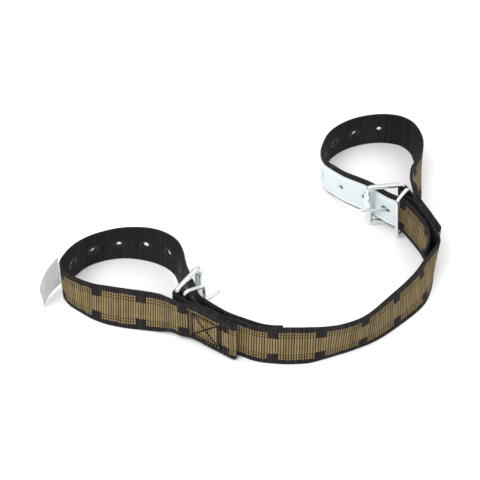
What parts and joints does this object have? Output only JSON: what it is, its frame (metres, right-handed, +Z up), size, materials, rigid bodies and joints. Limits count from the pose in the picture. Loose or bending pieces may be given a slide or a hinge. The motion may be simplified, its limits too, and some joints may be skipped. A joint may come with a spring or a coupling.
{
  "type": "double-cuff webbing hobble strap",
  "caption": "Webbing strap with a roller-buckle cuff at each end, leather-faced billets with punched holes, wire keepers, box-stitched folds and a blank sewn label.",
  "frame": {"origin": "centre of the bounding box in plan, on the plane the strap's lower edges stand on", "axes": "+Z up; +X from the left cuff towards the right cuff; +Y from the strap's front towards the back of the right cuff"},
  "size_m": [0.3609, 0.3214, 0.0548],
  "materials": {
    "webbing": "matte woven",
    "leather": "semi-matte chrome-tanned",
    "white_thread": "matte",
    "dark_thread": "matte",
    "plated_wire": "bright plated",
    "label_satin": "satin"
  },
  "bodies": {
    "strap_left": {"left_strap_half": "webbing"},
    "strap_right": {"right_strap_half": "webbing"},
    "left_cuff": {"left_cuff_webbing": "webbing", "left_leather_facing": "leather", "left_leather_seam_lower": "white_thread", "left_leather_seam_upper": "white_thread", "left_box_stitch": "dark_thread"},
    "left_buckle": {"left_buckle_frame": "plated_wire"},
    "left_roller": {"left_buckle_roller": "plated_wire"},
    "left_tongue": {"left_buckle_tongue": "plated_wire"},
    "left_keeper_loop": {"left_keeper": "plated_wire"},
    "right_cuff": {"right_cuff_webbing": "webbing", "right_leather_facing": "leather", "right_leather_seam_lower": "white_thread", "right_leather_seam_upper": "white_thread", "right_box_stitch": "dark_thread"},
    "right_buckle": {"right_buckle_frame": "plated_wire"},
    "right_roller": {"right_buckle_roller": "plated_wire"},
    "right_tongue": {"right_buckle_tongue": "plated_wire"},
    "right_keeper_loop": {"right_keeper": "plated_wire"},
    "label_flap": {"sewn_label": "label_satin"}
  },
  "joints": [
    {"name": "strap_fold", "type": "hinge", "parent": "strap_left", "child": "strap_right", "pos_m": [0.1142, -0.1314, 0.02024], "axis": [-0.0146, 0.0195, 0.9997], "range_deg": [-30, 30]},
    {"name": "left_cuff_swing", "type": "hinge", "parent": "strap_left", "child": "left_cuff", "pos_m": [0.0456, -0.15778, 0.02024], "axis": [-0.0007, 0.0878, 0.9961], "range_deg": [-30, 30]},
    {"name": "right_cuff_swing", "type": "hinge", "parent": "strap_right", "child": "right_cuff", "pos_m": [0.16237, -0.07587, 0.02022], "axis": [-0.1886, 0.0877, 0.9781], "range_deg": [-30, 30]},
    {"name": "left_buckle_swing", "type": "hinge", "parent": "left_cuff", "child": "left_buckle", "pos_m": [-0.0572, -0.1187, 0.02594], "axis": [0, 0, 1], "range_deg": [-12, 2.5]},
    {"name": "right_buckle_swing", "type": "hinge", "parent": "right_cuff", "child": "right_buckle", "pos_m": [0.1513, 0.0233, 0.02924], "axis": [-0.099, -0.099, 0.9901], "range_deg": [-1.5, 5]},
    {"name": "left_roller_spin", "type": "hinge", "parent": "left_buckle", "child": "left_roller", "pos_m": [-0.03991, -0.09059, 0.02594], "axis": [0, 0, 1], "continuous": true},
    {"name": "right_roller_spin", "type": "hinge", "parent": "right_buckle", "child": "right_roller", "pos_m": [0.11847, 0.023, 0.02593], "axis": [-0.099, -0.099, 0.9901], "continuous": true},
    {"name": "left_tongue_swing", "type": "hinge", "parent": "left_cuff", "child": "left_tongue", "pos_m": [-0.0572, -0.1187, 0.02594], "axis": [0, 0, 1], "range_deg": [-4, 4]},
    {"name": "right_tongue_swing", "type": "hinge", "parent": "right_cuff", "child": "right_tongue", "pos_m": [0.1513, 0.0233, 0.02924], "axis": [-0.099, -0.099, 0.9901], "range_deg": [0, 6]},
    {"name": "left_keeper_slide", "type": "slide", "parent": "left_cuff", "child": "left_keeper_loop", "axis": [0.8517, -0.524, 0], "range_m": [0, 0.001]},
    {"name": "right_keeper_slide", "type": "slide", "parent": "right_cuff", "child": "right_keeper_loop", "axis": [0.3902, -0.9192, -0.0529], "range_m": [0, 0.001]},
    {"name": "label_flap_swing", "type": "hinge", "parent": "left_cuff", "child": "label_flap", "pos_m": [-0.167, -0.06345, 0.02099], "axis": [0, -0.0447, 0.999], "range_deg": [-25, 20]}
  ]
}
